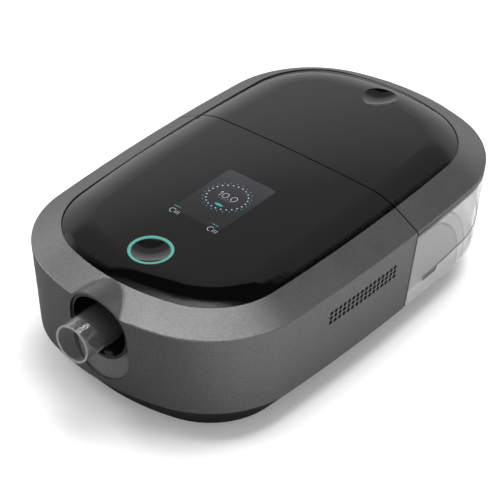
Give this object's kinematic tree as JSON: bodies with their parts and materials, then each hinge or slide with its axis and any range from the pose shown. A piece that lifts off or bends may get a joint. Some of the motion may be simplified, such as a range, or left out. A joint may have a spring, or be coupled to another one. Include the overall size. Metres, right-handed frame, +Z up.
{
  "type": "sleep therapy air machine",
  "caption": "Low rounded bedside air machine with a glossy crowned top, lit round button, hooded air outlet, side grille and a clear slide-out water tank under a hinged lid.",
  "frame": {"origin": "middle of the footprint, air outlet included, on the surface it stands on", "axes": "+Z up; -Y towards the front, where the air outlet points; +X to the right of someone facing the front's direction, the side with the grille"},
  "size_m": [0.1708, 0.2904, 0.0843],
  "materials": {
    "housing": "fine-grained, slightly metallic dark grey",
    "base": "fine-grained dark grey",
    "rubber": "soft matte",
    "screw_steel": "plain",
    "black_gloss": "glossy",
    "outlet_trim": "semi-gloss",
    "smoky_clear": "smoky, glossy",
    "contact": "matte",
    "top_gloss": "piano gloss",
    "display_pane": "flush glossy pane with display markings",
    "display": "display glass",
    "teal_light": "lit light guide",
    "button_gloss": "glossy dished",
    "board": "lacquered circuit board",
    "inner_plastic": "moulded",
    "motor_steel": "plain",
    "heater_metal": "anodised",
    "plate_metal": "pressed",
    "tank_clear": "tinted clear",
    "seal": "silicone",
    "filter_media": "felted",
    "impeller_plastic": "moulded"
  },
  "bodies": {
    "chassis": {"base_pan": "base", "rubber_feet": "rubber", "base_screws": "screw_steel", "front_housing": "housing", "outlet_well": "black_gloss", "outlet_plate": "outlet_trim", "outlet_tube": "smoky_clear", "hose_contact": "contact", "top_panel": "top_gloss", "display_window": "display_pane", "display_module": "display", "light_ring": "teal_light", "button_board": "board", "bulkhead": "inner_plastic", "port_seals": "rubber", "air_duct": "inner_plastic", "blower_case": "inner_plastic", "blower_cover": "inner_plastic", "motor": "motor_steel", "blower_grommets": "rubber", "main_board": "board", "card_reader": "contact", "power_inlet": "contact", "bay_deck": "base", "heater_plate": "heater_metal", "heater_element": "rubber"},
    "tank": {"water_tank": "tank_clear", "water_plate": "plate_metal", "tank_clips": "outlet_trim", "hinge_pin": "screw_steel"},
    "lid": {"lid_bezel": "housing", "lid_panel": "top_gloss", "lid_frame": "inner_plastic", "lid_seal": "seal"},
    "button": {"therapy_button": "button_gloss"},
    "drawer": {"filter_drawer": "housing", "air_filter": "filter_media"},
    "rotor": {"impeller": "impeller_plastic"}
  },
  "joints": [
    {"name": "tank_slide", "type": "slide", "parent": "chassis", "child": "tank", "axis": [0, 1, 0], "range_m": [0, 0.12]},
    {"name": "lid_hinge", "type": "hinge", "parent": "tank", "child": "lid", "pos_m": [0, 0.1432, 0.0695], "axis": [-1, 0, 0], "range_deg": [0, 80]},
    {"name": "therapy_button_press", "type": "slide", "parent": "chassis", "child": "button", "axis": [0, 0, -1], "range_m": [0, 0.001], "stiffness_N_per_m": 1200, "springref_m": -0.0005},
    {"name": "filter_drawer_slide", "type": "slide", "parent": "chassis", "child": "drawer", "axis": [-1, 0, 0], "range_m": [0, 0.028]},
    {"name": "impeller_spin", "type": "hinge", "parent": "chassis", "child": "rotor", "pos_m": [0.01, -0.0293, 0.035], "axis": [0, 0, 1], "continuous": true}
  ]
}
